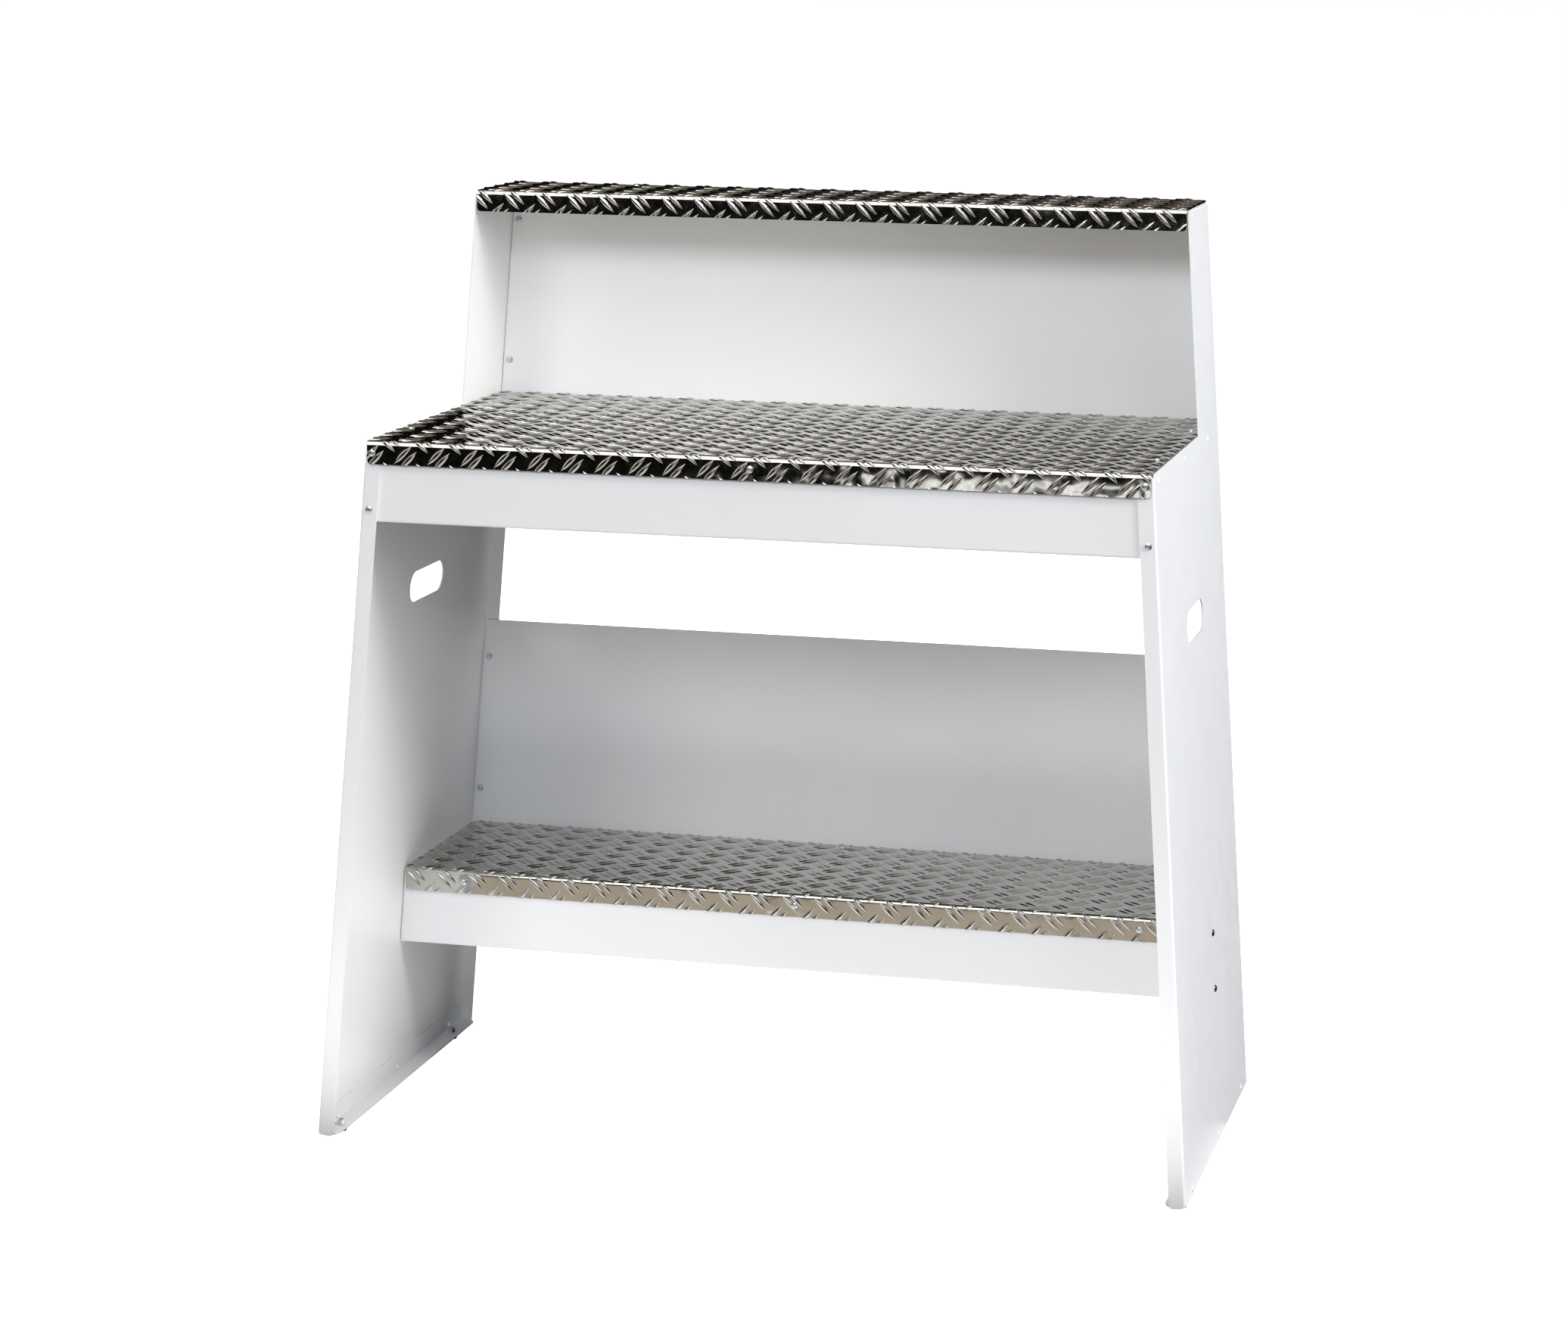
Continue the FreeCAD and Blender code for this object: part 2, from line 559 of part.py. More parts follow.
def upper_back_panel():
    low_z = MID_SEAT_Z - SHEET
    top_half = half_width(TOP_FLANGE_Z) - FLANGE - FLANGE_END_GAPS[0]
    low_half = inner_half_width(MID_SEAT_Z) - FLANGE_END_GAPS[1]
    flanges = [(TOP_FLANGE_Z, UPPER_BACK_TOP_FLANGE, top_half),
               (MID_SEAT_Z, UPPER_BACK_LOW_FLANGE, low_half)]
    holes = back_places(UPPER_BACK_SCREWS_Z) + top_rear_places() + mid_rear_places()
    return back_panel(low_z, TOP_FLANGE_Z, UPPER_BACK_SIDE_GAP, flanges, holes)


def lower_back_panel():
    low_z = LOW_SEAT_Z - SHEET
    flanges = [(LOW_SEAT_Z, LOWER_BACK_FLANGE, inner_half_width(LOW_SEAT_Z) - FLANGE_END_GAPS[2])]
    holes = back_places(LOWER_BACK_SCREWS_Z) + low_rear_places()
    panel = back_panel(low_z, LOW_BACK_TOP_Z, LOWER_BACK_SIDE_GAP, flanges, holes)
    return round_edges(panel, CORNER, lambda m, d: near(m.z, LOW_BACK_TOP_Z) and abs(d.y) > 0.9)


# --- small parts --------------------------------------------------------------------------------

def rubber_foot():
    """Round rubber foot hung under the base angle, with a recess for its screw's head."""
    body = Part.makeCone(FOOT_RADIUS - 1.0, FOOT_RADIUS, FOOT_HEIGHT - GAP)
    recess = Part.makeCylinder(HEAD_R + 0.4, HEAD_HEIGHT + 0.5)
    bore = Part.makeCylinder(SCREW_HOLE_R, FOOT_HEIGHT)
    return body.cut(recess.fuse(bore))


def lip_spacer():
    """Washer that fills the gap between the middle lip and the beam behind it at mid-width."""
    back = front_edge(MID_LIP_SCREW_Z) + SHEET
    length = back - DECK_SHEET - GAP - 0.2
    ring = Part.makeCylinder(6.0, length).cut(Part.makeCylinder(SCREW_HOLE_R, length))
    return placed(ring, Vector(0, MID_DECK_FRONT_Y + DECK_SHEET + GAP, MID_LIP_SCREW_Z), Y_AXIS)


def group(make, places, offset=0.0):
    """Compound of one solid per place, offset behind the head's seat."""
    solids = [placed(make, seat - facing * offset, facing) for seat, facing in places]
    return Part.makeCompound(solids)


def nuts(places, grip, height=NUT_HEIGHT):
    """Nuts behind a grip of sheets; they stand a little off so that a leaning sheet stays clear."""
    turned = [(seat - facing * (grip + 0.15), -facing) for seat, facing in places]
    return group(nut(height), turned)


def screws(places, length=SHORT_SCREW):
    return group(screw(length), places)


# --- the assembly -------------------------------------------------------------------------------

def build():
    nodes = {}
    right_parts = {"side_panel": side_panel(), "base_angle": base_angle(), "deck_rail": deck_rail()}
    grip = 2 * SHEET + GAP
    right_parts["base_rivets"] = group(rivet(grip + 0.05), base_rivet_places())
    right_parts["deck_rail_rivets"] = group(rivet(grip + 0.05), rail_rivet_places())
    for name, shape in right_parts.items():
        nodes[name + "_right"] = shape
        nodes[name + "_left"] = mirrored(shape)

    nodes["top_deck_plate"] = top_deck_plate()
    nodes["middle_deck_plate"] = middle_deck_plate()
    nodes["lower_deck_plate"] = lower_deck_plate()
    nodes["middle_front_beam"] = middle_front_beam()
    nodes["lower_front_beam"] = lower_front_beam()
    nodes["upper_back_panel"] = upper_back_panel()
    nodes["lower_back_panel"] = lower_back_panel()
    nodes["lip_spacer"] = lip_spacer()

    for side, sign in SIDES:
        for end, y in zip(("front", "rear"), FEET_Y):
            place = Vector(sign * FOOT_X, y, -FOOT_HEIGHT)
            nodes["foot_" + end + "_" + side] = placed(rubber_foot(), place, Z_AXIS)

    deck_grip = DECK_SHEET + SHEET + GAP
    foot_grip = FOOT_HEIGHT - HEAD_HEIGHT - 0.5 + SHEET
    lip_grip = front_edge(MID_LIP_SCREW_Z) + 2 * SHEET + GAP
    joints = {
        "foot": (foot_places(), SHORT_SCREW, foot_grip),
        "middle_lip": (mid_lip_places(), LIP_SCREW, lip_grip),
        "front_flange": (flange_places(), SHORT_SCREW, grip),
        "middle_deck_side": (mid_side_places(), SHORT_SCREW, deck_grip),
        "middle_deck_rear": (mid_rear_places(), SHORT_SCREW, deck_grip),
        "top_deck": (top_rear_places(), SHORT_SCREW, deck_grip),
        "upper_back": (back_places(UPPER_BACK_SCREWS_Z), SHORT_SCREW, grip),
        "lower_back": (back_places(LOWER_BACK_SCREWS_Z), SHORT_SCREW, grip),
        "lower_lip": (low_lip_places(), SHORT_SCREW, deck_grip),
        "lower_deck_rear": (low_rear_places(), SHORT_SCREW, deck_grip),
        "lower_beam_side": (beam_side_places(), SHORT_SCREW, grip),
    }
    for name, (places, length, thickness) in joints.items():
        nodes[name + "_screws"] = screws(places, length)
        height = FOOT_NUT_HEIGHT if name == "foot" else NUT_HEIGHT
        nodes[name + "_nuts"] = nuts(places, thickness, height)
    return nodes


def main():
    os.makedirs("parts", exist_ok=True)
    to_origin = Vector(0, -ORIGIN_Y, FOOT_HEIGHT)
    for name, shape in build().items():
        moved = shape.copy()
        moved.translate(to_origin)
        if not moved.isValid():
            print("not valid:", name)
        moved.exportStep("parts/" + name + ".step")
        box = moved.BoundBox
        print(f"{name:24s} solids {len(moved.Solids)}  volume {moved.Volume / 1000:9.2f} cm3  "
              f"x {box.XMin:8.2f} {box.XMax:8.2f}  y {box.YMin:8.2f} {box.YMax:8.2f}  "
              f"z {box.ZMin:8.2f} {box.ZMax:8.2f}")


main()
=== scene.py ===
import json
import math

import bmesh
import bpy
from mathutils import Matrix, Vector

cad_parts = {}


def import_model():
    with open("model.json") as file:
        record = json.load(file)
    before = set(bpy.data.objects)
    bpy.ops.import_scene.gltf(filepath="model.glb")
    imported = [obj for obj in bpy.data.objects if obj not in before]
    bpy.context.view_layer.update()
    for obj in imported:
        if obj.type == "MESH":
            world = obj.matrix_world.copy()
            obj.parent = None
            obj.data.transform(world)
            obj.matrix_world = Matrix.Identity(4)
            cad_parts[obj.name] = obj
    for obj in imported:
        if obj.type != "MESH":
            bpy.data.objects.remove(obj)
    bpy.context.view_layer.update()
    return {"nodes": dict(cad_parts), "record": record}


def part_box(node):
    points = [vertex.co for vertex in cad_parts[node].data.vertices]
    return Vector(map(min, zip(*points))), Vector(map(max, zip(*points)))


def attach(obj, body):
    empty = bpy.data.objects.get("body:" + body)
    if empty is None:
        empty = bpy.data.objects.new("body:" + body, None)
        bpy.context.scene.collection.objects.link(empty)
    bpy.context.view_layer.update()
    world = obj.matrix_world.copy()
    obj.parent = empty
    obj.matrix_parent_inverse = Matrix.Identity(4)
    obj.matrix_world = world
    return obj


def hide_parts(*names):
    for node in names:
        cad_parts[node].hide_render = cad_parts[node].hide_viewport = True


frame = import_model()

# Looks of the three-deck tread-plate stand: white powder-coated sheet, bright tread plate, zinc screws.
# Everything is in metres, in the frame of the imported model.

MM = 0.001


# --- materials ----------------------------------------------------------------------------------

class Shader:
    """A node material with helpers for the few kinds of node that the finishes need."""

    def __init__(self, name):
        self.material = bpy.data.materials.new(name)
        self.material.use_nodes = True
        self.tree = self.material.node_tree
        self.surface = self.tree.nodes["Principled BSDF"]
        texture_space = self.tree.nodes.new("ShaderNodeTexCoord").outputs
        self.coordinates = texture_space["Object"]
        self.normal = texture_space["Normal"]

    def set(self, **values):
        for name, value in values.items():
            self.surface.inputs[name.replace("_", " ")].default_value = value

    def link(self, output, socket):
        self.tree.links.new(output, self.surface.inputs[socket])

    def noise(self, size, detail=2.0, stretch=(1, 1, 1)):
        """Noise whose features are about size across, in metres."""
        mapping = self.tree.nodes.new("ShaderNodeMapping")
        mapping.inputs["Scale"].default_value = [1 / (size * s) for s in stretch]
        self.tree.links.new(self.coordinates, mapping.inputs["Vector"])
        texture = self.tree.nodes.new("ShaderNodeTexNoise")
        texture.inputs["Scale"].default_value = 1.0
        texture.inputs["Detail"].default_value = detail
        self.tree.links.new(mapping.outputs["Vector"], texture.inputs["Vector"])
        return texture.outputs["Fac"]

    def between(self, factor, low, high, start=0.3, stop=0.7):
        """Numbers from low to high as the factor goes from start to stop."""
        node = self.tree.nodes.new("ShaderNodeMapRange")
        node.inputs["From Min"].default_value = start
        node.inputs["From Max"].default_value = stop
        node.inputs["To Min"].default_value = low
        node.inputs["To Max"].default_value = high
        self.tree.links.new(factor, node.inputs["Value"])
        return node.outputs["Result"]

    def add(self, first, second):
        """Sum of two numbers."""
        node = self.tree.nodes.new("ShaderNodeMath")
        self.tree.links.new(first, node.inputs[0])
        self.tree.links.new(second, node.inputs[1])
        return node.outputs["Value"]

    def blend(self, factor, first, second):
        """Colours from first to second; each is a colour or a node's output."""
        node = self.tree.nodes.new("ShaderNodeMix")
        node.data_type = "RGBA"
        sockets = [socket for socket in node.inputs if socket.type == "RGBA"]
        for socket, colour in zip(sockets, (first, second)):
            if isinstance(colour, tuple):
                socket.default_value = (*colour, 1)
            else:
                self.tree.links.new(colour, socket)
        self.tree.links.new(factor, node.inputs["Factor"])
        return [socket for socket in node.outputs if socket.type == "RGBA"][0]

    def faces_down(self):
        """1 where the surface faces down, 0 elsewhere."""
        parts = self.tree.nodes.new("ShaderNodeSeparateXYZ")
        self.tree.links.new(self.normal, parts.inputs["Vector"])
        return self.between(parts.outputs["Z"], 1, 0, start=-0.8, stop=-0.6)

    def bump(self, height, depth, strength=1.0, after=None):
        """Bump of the given depth in metres, on top of an earlier one."""
        node = self.tree.nodes.new("ShaderNodeBump")
        node.inputs["Strength"].default_value = strength
        node.inputs["Distance"].default_value = depth
        self.tree.links.new(height, node.inputs["Height"])
        if after is not None:
            self.tree.links.new(after, node.inputs["Normal"])
        return node.outputs["Normal"]


def powder_coat():
    """White paint with a fine orange peel."""
    s = Shader("white_powder_coat")
    s.set(Specular_IOR_Level=0.3)
    patches = s.between(s.noise(0.35, detail=3), 0, 1)
    s.link(s.blend(patches, (0.80, 0.80, 0.80), (0.83, 0.83, 0.835)), "Base Color")
    s.link(s.between(s.noise(0.02, detail=3), 0.36, 0.48), "Roughness")
    orange_peel = s.bump(s.noise(1.6 * MM, detail=2), 0.05 * MM, 0.5)
    s.link(s.bump(s.noise(0.5 * MM, detail=1), 0.02 * MM, 0.4, after=orange_peel), "Normal")
    return s.material


def tread_aluminium():
    """Bright rolled aluminium with gentle waves; where it faces down, on the underside, it has painted
    shade: a near-black base colour and rougher reflection.
    """
    s = Shader("bright_tread_plate")
    s.set(Metallic=1.0)
    bright = s.blend(s.between(s.noise(0.09, detail=4), 0, 1), (0.49, 0.48, 0.45), (0.55, 0.54, 0.51))
    # painted shade: faces that point down get a near-black base colour and rougher reflection, standing
    # in for the shade under the decks
    painted_shade_underside = s.faces_down()
    s.link(s.blend(painted_shade_underside, bright, (0.09, 0.088, 0.082)), "Base Color")
    grain = s.between(s.noise(0.012, detail=4), 0.06, 0.14)
    s.link(s.add(grain, s.between(painted_shade_underside, 0, 0.35, start=0, stop=1)), "Roughness")
    waves = s.bump(s.noise(0.024, detail=1), 1.3 * MM, 0.7)
    scratches = s.noise(0.7 * MM, detail=3, stretch=(14, 1, 1))
    s.link(s.bump(scratches, 0.006 * MM, 0.5, after=waves), "Normal")
    return s.material


def zinc():
    s = Shader("zinc_plated_steel")
    s.set(Metallic=1.0)
    patches = s.between(s.noise(2 * MM, detail=3), 0, 1)
    s.link(s.blend(patches, (0.56, 0.60, 0.64), (0.76, 0.80, 0.84)), "Base Color")
    s.link(s.between(s.noise(1.2 * MM, detail=3), 0.20, 0.36), "Roughness")
    s.link(s.bump(s.noise(0.6 * MM, detail=2), 0.02 * MM, 0.5), "Normal")
    return s.material


def rubber():
    s = Shader("black_rubber")
    s.set(Specular_IOR_Level=0.3)
    patches = s.between(s.noise(3 * MM), 0, 1)
    s.link(s.blend(patches, (0.012, 0.012, 0.012), (0.03, 0.03, 0.03)), "Base Color")
    s.link(s.between(s.noise(1 * MM), 0.7, 0.9), "Roughness")
    s.link(s.bump(s.noise(0.8 * MM, detail=3), 0.08 * MM, 0.6), "Normal")
    return s.material


MATERIALS = {
    "white_powder_coat": powder_coat(),
    "tread_plate": tread_aluminium(),
    "zinc_steel": zinc(),
    "black_rubber": rubber(),
}


def finish_cad_nodes():
    """Give every CAD node the finish of its material slot in the record."""
    slots = {part["node"]: part["material_slot"] for part in frame["record"]["subparts"]}
    for name, node in frame["nodes"].items():
        node.data.materials.clear()
        node.data.materials.append(MATERIALS[slots[name]])


# --- tread plate --------------------------------------------------------------------------------

BEND_RADIUS = 6.0 * MM      # outer radius of the fold between deck and lip
SHEET = 2.5 * MM
CORNER = 5.0 * MM
PITCH = 43.7 * MM           # of the pattern, along and across the sheet
BAR_LENGTH = 32.6 * MM
BAR_WIDTH = 7.2 * MM
BAR_HEIGHT = 1.9 * MM
BAR_SPACING = 9.7 * MM      # between the two bars of a pair
BAR_SINK = 0.15 * MM        # from the sheet's face down to a bar's flat underside
BAR_TAPER = 0.7             # how its height follows its width towards the ends
BAR_CROWN = 2.4             # how flat its top is across
BAR_STATIONS = 8            # along a bar, from end to end
BAR_LINES = (-1, -0.9, -0.75, -0.5, -0.2, 0.2, 0.5, 0.75, 0.9, 1)    # across a bar, from edge to edge
FOLD_STEPS = 10
CORNER_STEPS = 5
CUT_TOLERANCE = 1e-7
SHARP_ANGLE = math.radians(42)      # edges that turn further than this stay sharp


def bar_point(s, t):
    """Point of a bar lying along +u, for s along and t across it, both from -1 to 1."""
    narrowing = 1 - s * s
    height = BAR_HEIGHT * narrowing ** BAR_TAPER + BAR_SINK
    rise = height * (1 - abs(t) ** BAR_CROWN)
    return Vector((s * BAR_LENGTH / 2, t * BAR_WIDTH / 2 * narrowing, rise - BAR_SINK))


def add_bar(mesh, centre, angle):
    """A closed leaf-shaped bar on the flat sheet."""
    turn = Matrix.Rotation(angle, 3, "Z")

    def corner(s, t):
        return mesh.verts.new(turn @ bar_point(s, t) + centre)

    first = corner(-1, 0)
    last = corner(1, 0)
    rows = []
    for i in range(1, BAR_STATIONS):
        s = math.sin(math.pi / 2 * (2 * i / BAR_STATIONS - 1))
        rows.append([corner(s, t) for t in BAR_LINES])
    for before, after in zip(rows, rows[1:]):
        for j in range(len(BAR_LINES) - 1):
            mesh.faces.new((before[j], after[j], after[j + 1], before[j + 1]))
    for j in range(len(BAR_LINES) - 1):
        mesh.faces.new((first, rows[0][j], rows[0][j + 1]))
        mesh.faces.new((last, rows[-1][j + 1], rows[-1][j]))
    right_rim = [row[0] for row in rows]
    left_rim = [row[-1] for row in reversed(rows)]
    mesh.faces.new([first] + left_rim[::-1] + [last] + right_rim[::-1])


def sheet_outline(half, lip, depth):
    """Corners of the flat sheet; v is 0 at the fold, negative on the lip, whose corners are round."""
    points = [Vector((half, depth, 0)), Vector((-half, depth, 0))]
    for side, start in ((-1, math.pi), (1, math.pi * 1.5)):
        middle = Vector((side * (half - CORNER), CORNER - lip, 0))
        for i in range(CORNER_STEPS + 1):
            angle = start + math.pi / 2 * i / CORNER_STEPS
            points.append(middle + CORNER * Vector((math.cos(angle), math.sin(angle), 0)))
    return points


def cut_to_outline(mesh, outline):
    """Cut away what sticks out of the convex outline, and close the cuts."""
    for start, end in zip(outline, outline[1:] + outline[:1]):
        outwards = (end - start).cross(Vector((0, 0, 1)))
        everything = mesh.verts[:] + mesh.edges[:] + mesh.faces[:]
        cut = bmesh.ops.bisect_plane(mesh, geom=everything, plane_co=start, plane_no=outwards,
                                     clear_outer=True, dist=CUT_TOLERANCE)
        rims = [e for e in cut["geom_cut"] if isinstance(e, bmesh.types.BMEdge) and e.is_boundary]
        bmesh.ops.holes_fill(mesh, edges=rims, sides=0)


def fold(point, front, top):
    """Place of a flat sheet's point on the folded sheet; its third coordinate is the height above the
    sheet's face. The fold's ends are at v = -BEND_RADIUS on the lip and +BEND_RADIUS on the deck."""
    u, v, h = point
    if v > BEND_RADIUS:
        return Vector((u, front + v, top + h))
    if v < -BEND_RADIUS:
        return Vector((u, front - h, top + v))
    angle = (v + BEND_RADIUS) / (2 * BEND_RADIUS) * math.pi / 2
    radius = BEND_RADIUS + h
    return Vector((u, front + BEND_RADIUS - radius * math.cos(angle),
                   top - BEND_RADIUS + radius * math.sin(angle)))


def add_pattern(mesh, u, v, width, length):
    """Pairs of bars that fall and rise in turn along both directions; one falling pair is at (u, v)."""
    columns = range(-1, int(width / PITCH) + 2)
    rows = range(-2, int(length / PITCH) + 2)
    for offset, angle in ((0.0, -math.pi / 4), (PITCH / 2, math.pi / 4)):
        across = Vector((-math.sin(angle), math.cos(angle), 0)) * BAR_SPACING / 2
        for i in columns:
            for j in rows:
                middle = Vector((u + offset + i * PITCH, v + offset + j * PITCH, 0))
                for centre in (middle - across, middle + across):
                    add_bar(mesh, centre, angle)


def add_sheet(mesh, outline):
    """The flat sheet that the bars stand on, its face at height 0."""
    face = [mesh.verts.new(p) for p in outline]
    back = [mesh.verts.new(p - Vector((0, 0, SHEET))) for p in outline]
    mesh.faces.new(face)
    mesh.faces.new(back[::-1])
    for i in range(len(outline)):
        k = (i + 1) % len(outline)
        mesh.faces.new((face[k], face[i], back[i], back[k]))


def fold_mesh(mesh, front, top):
    """Divide the flat sheet and its bars along the fold, then fold them."""
    for i in range(FOLD_STEPS + 1):
        line = BEND_RADIUS * (2 * i / FOLD_STEPS - 1)
        everything = mesh.verts[:] + mesh.edges[:] + mesh.faces[:]
        bmesh.ops.bisect_plane(mesh, geom=everything, plane_co=(0, line, 0), plane_no=(0, 1, 0),
                               dist=CUT_TOLERANCE)
    for vertex in mesh.verts:
        vertex.co = fold(vertex.co, front, top)


def tread_plate(node, pattern_u, pattern_v):
    """Folded tread plate in place of a plain CAD deck."""
    low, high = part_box(node)
    lip = high.z - low.z
    depth = high.y - low.y
    outline = sheet_outline(high.x, lip, depth)
    mesh = bmesh.new()
    add_pattern(mesh, pattern_u, pattern_v, 2 * high.x, depth + lip)
    cut_to_outline(mesh, outline)
    add_sheet(mesh, outline)
    fold_mesh(mesh, low.y, high.z)
    bmesh.ops.recalc_face_normals(mesh, faces=mesh.faces[:])
    data = bpy.data.meshes.new(node + "_tread")
    mesh.to_mesh(data)
    mesh.free()
    data.shade_smooth()
    data.set_sharp_from_angle(angle=SHARP_ANGLE)
    data.materials.append(MATERIALS["tread_plate"])
    plate = bpy.data.objects.new(node + "_tread", data)
    bpy.context.scene.collection.objects.link(plate)
    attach(plate, "root")
    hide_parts(node)


def tread_plates():
    tread_plate("middle_deck_plate", -468.5 * MM, 2.3 * MM)
    tread_plate("top_deck_plate", -469.0 * MM, -10.0 * MM)
    tread_plate("lower_deck_plate", -527.4 * MM, -10.6 * MM)


# --- camera, light and floor --------------------------------------------------------------------

# The photograph's camera: its place, its angles in radians and its lens in millimetres.
CAMERA_PLACE = Vector((1.22234, -5.01005, 1.58406))
CAMERA_YAW = 0.24316
CAMERA_PITCH = -0.18897
CAMERA_ROLL = 0.00959
LENS = 92.244
SENSOR_WIDTH = 36.0
PAINT_SKY = 0.03            # brightness of the sky that lights the paint, and that shows in metal
METAL_SKY = 0.005
FLOOR_REACH = 60.0


def camera():
    forward = Vector((-math.sin(CAMERA_YAW) * math.cos(CAMERA_PITCH),
                      math.cos(CAMERA_YAW) * math.cos(CAMERA_PITCH), math.sin(CAMERA_PITCH)))
    level = Vector((math.cos(CAMERA_YAW), math.sin(CAMERA_YAW), 0))
    above = level.cross(forward)
    right = level * math.cos(CAMERA_ROLL) + above * math.sin(CAMERA_ROLL)
    up = above * math.cos(CAMERA_ROLL) - level * math.sin(CAMERA_ROLL)
    data = bpy.data.cameras.new("camera")
    data.lens = LENS
    data.sensor_width = SENSOR_WIDTH
    data.sensor_fit = "HORIZONTAL"
    data.clip_end = 200.0
    made = bpy.data.objects.new("camera", data)
    bpy.context.scene.collection.objects.link(made)
    turned = Matrix((right, up, -forward)).transposed().to_4x4()
    made.matrix_world = Matrix.Translation(CAMERA_PLACE) @ turned
    bpy.context.scene.camera = made


def area_light(name, place, target, width, height, power, colour):
    data = bpy.data.lights.new(name, "AREA")
    data.shape = "RECTANGLE"
    data.size = width
    data.size_y = height
    data.energy = power
    data.color = colour
    light = bpy.data.objects.new(name, data)
    bpy.context.scene.collection.objects.link(light)
    light.location = place
    light.rotation_mode = "QUATERNION"
    light.rotation_quaternion = (Vector(target) - Vector(place)).to_track_quat("-Z", "Y")
    light.visible_camera = False
    return light


def softbox(name, place, size, power, colour=(1, 1, 1), target=(0, 0, 0.6)):
    """Soft light for the paint; it doesn't show in the bright metal."""
    light = area_light(name, place, target, *size, power, colour)
    light.visible_glossy = False


def card(name, place, size, brightness, colour=(1, 1, 1), target=(0, 0, 0.7)):
    """Evenly bright surface of the studio, which shows in reflections only."""
    light = area_light(name, place, target, *size, brightness * math.pi * size[0] * size[1], colour)
    light.visible_diffuse = False


def floor_card(name, x, y, size, brightness, colour=(1, 1, 1)):
    """Card that lies on the floor and faces up."""
    card(name, (x, y, 0.005), size, brightness, colour, target=(x, y, 1))


def paint_lights():
    softbox("key_right", (4.0, -1.4, 3.0), (1.4, 1.2), 109)
    softbox("sky_right", (4.0, 0.2, 3.0), (1.4, 1.2), 54, (0.80, 0.88, 1.0))
    softbox("right", (4.2, -0.8, 1.6), (1.4, 1.2), 70)
    softbox("corner", (2.8, -3.6, 3.0), (1.0, 1.0), 10)
    softbox("front_left", (-2.2, -4.6, 3.0), (1.5, 1.0), 66)
    softbox("front_high", (0.2, -4.6, 3.0), (1.5, 1.0), 59, (0.73, 0.85, 1.0))
    softbox("front", (0.2, -4.6, 1.7), (1.5, 1.0), 12, (1.0, 0.86, 0.72))
    softbox("front_low", (-0.6, -4.0, 0.3), (2.0, 0.4), 10, target=(-0.3, 0, 0.2))
    softbox("top_left", (-1.6, -1.6, 3.7), (1.5, 1.5), 20, (1.0, 0.83, 0.68))
    softbox("top_right", (1.7, -1.6, 3.7), (1.5, 1.5), 14)
    softbox("floor_glow", (0, -0.15, 0.01), (1.0, 0.7), 2.2, target=(0, -0.15, 1))
    softbox("floor_near", (0, -0.62, 0.01), (2.0, 0.4), 5.0, target=(0, -0.62, 1))
    softbox("deck_glow", (-0.12, -0.1, 0.95), (0.6, 0.1), 0.5, target=(-0.12, 0.26, 1.02))
    softbox("behind", (-1.8, 4.2, 2.2), (2.4, 2.0), 170)
    softbox("left", (-4.4, 0.8, 1.6), (2.0, 2.0), 120)


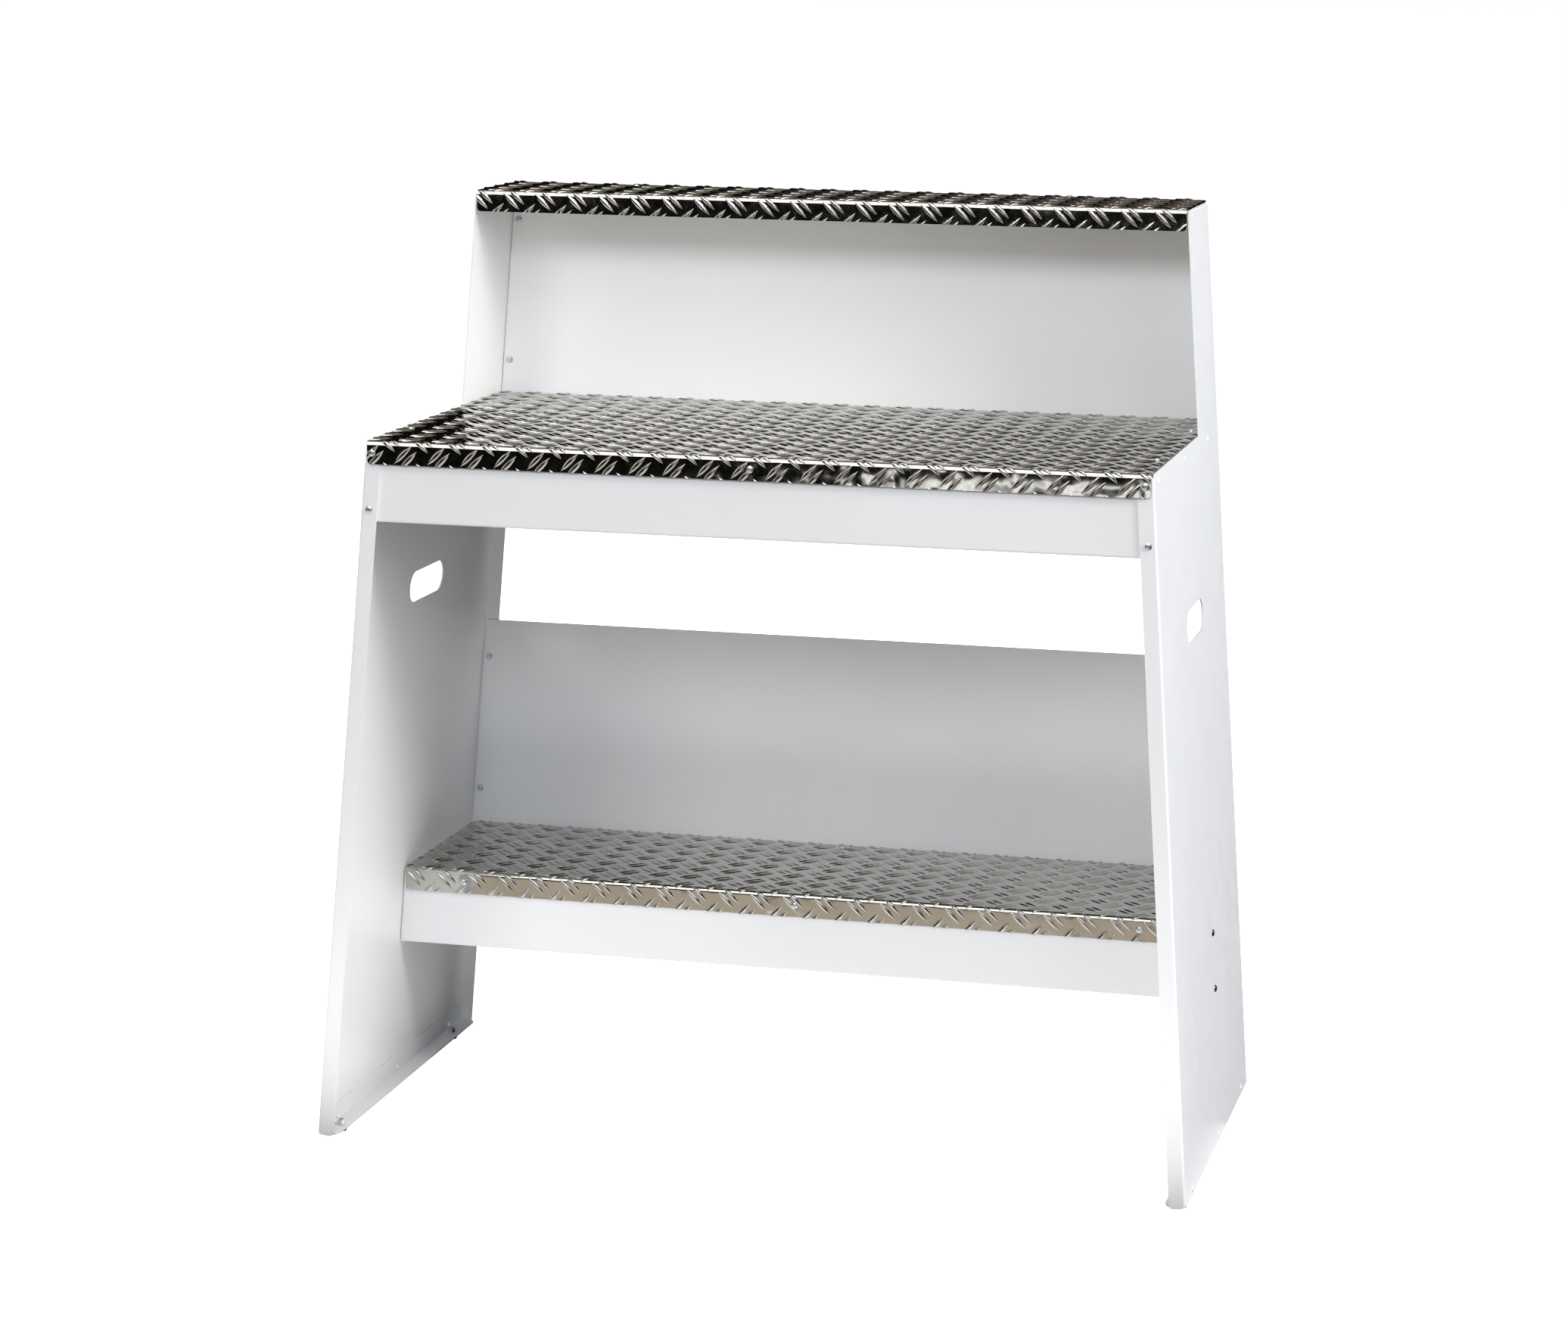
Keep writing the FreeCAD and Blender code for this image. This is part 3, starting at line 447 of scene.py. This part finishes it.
def metal_surroundings():
    """What the bright decks show: a ceiling, dimmer walls and a pale floor, with dark gaps between."""
    card("front_sky", (0, -3.6, 3.0), (4.5, 3.0), 2.2)
    card("ceiling", (0, -1.35, 3.7), (3.6, 2.1), 3.2, (1.0, 0.97, 0.92), target=(0, -1.35, 0))
    card("high_right", (2.6, -1.3, 3.2), (1.4, 1.4), 1.6, target=(0, 0, 0.9))
    card("high_left", (-2.6, -1.3, 3.2), (1.4, 1.4), 0.8, target=(0, 0, 0.9))
    card("left_window", (-4.0, -1.0, 2.4), (2.0, 1.6), 1.2)
    card("behind_top", (0, 2.6, 3.5), (4.0, 1.6), 0.15, (1.0, 0.88, 0.76))
    card("zenith", (0, 0.9, 4.2), (4.5, 2.4), 0.3, (1.0, 0.90, 0.80), target=(0, 0.9, 0))
    floor_card("floor_at_feet", -1.0, -0.37, (3.2, 0.9), 1.2)
    floor_card("near_floor", -0.4, -1.36, (3.4, 1.08), 0.66, (1.0, 0.86, 0.70))
    floor_card("far_floor", -0.2, -2.6, (4.0, 1.4), 0.25, (1.0, 0.88, 0.76))
    card("low_front", (-0.5, -5.0, 0.24), (0.8, 0.3), 1.7, target=(-0.5, 0, 0.24))
    card("right_window", (4.0, -1.2, 2.2), (1.6, 1.8), 1.0)


def world():
    """White for the camera, a dim even sky for everything else."""
    made = bpy.data.worlds.new("studio")
    bpy.context.scene.world = made
    made.use_nodes = True
    tree = made.node_tree
    tree.nodes.clear()

    def background(strength):
        node = tree.nodes.new("ShaderNodeBackground")
        node.inputs["Color"].default_value = (1, 1, 1, 1)
        node.inputs["Strength"].default_value = strength
        return node.outputs["Background"]

    def choose(factor, otherwise, when):
        node = tree.nodes.new("ShaderNodeMixShader")
        tree.links.new(factor, node.inputs[0])
        tree.links.new(otherwise, node.inputs[1])
        tree.links.new(when, node.inputs[2])
        return node.outputs["Shader"]

    path = tree.nodes.new("ShaderNodeLightPath").outputs
    unseen = choose(path["Is Glossy Ray"], background(PAINT_SKY), background(METAL_SKY))
    output = tree.nodes.new("ShaderNodeOutputWorld")
    tree.links.new(choose(path["Is Camera Ray"], unseen, background(1.0)), output.inputs["Surface"])


def floor():
    """Wide floor that glows white under any light; reflections show the cards on it instead."""
    data = bpy.data.meshes.new("floor")
    reach = FLOOR_REACH
    corners = [(-reach, -reach, 0), (reach, -reach, 0), (reach, reach, 0), (-reach, reach, 0)]
    data.from_pydata(corners, [], [(0, 1, 2, 3)])
    made = bpy.data.objects.new("floor", data)
    bpy.context.scene.collection.objects.link(made)
    s = Shader("pale_floor")
    s.set(Roughness=0.9, Specular_IOR_Level=0.0, Emission_Strength=1.0)
    s.surface.inputs["Base Color"].default_value = (0.85, 0.85, 0.85, 1)
    s.surface.inputs["Emission Color"].default_value = (1, 1, 1, 1)
    data.materials.append(s.material)
    made.visible_glossy = False
    made.visible_diffuse = False


finish_cad_nodes()
tread_plates()
camera()
paint_lights()
metal_surroundings()
world()
floor()
bpy.context.scene.view_settings.view_transform = "Standard"
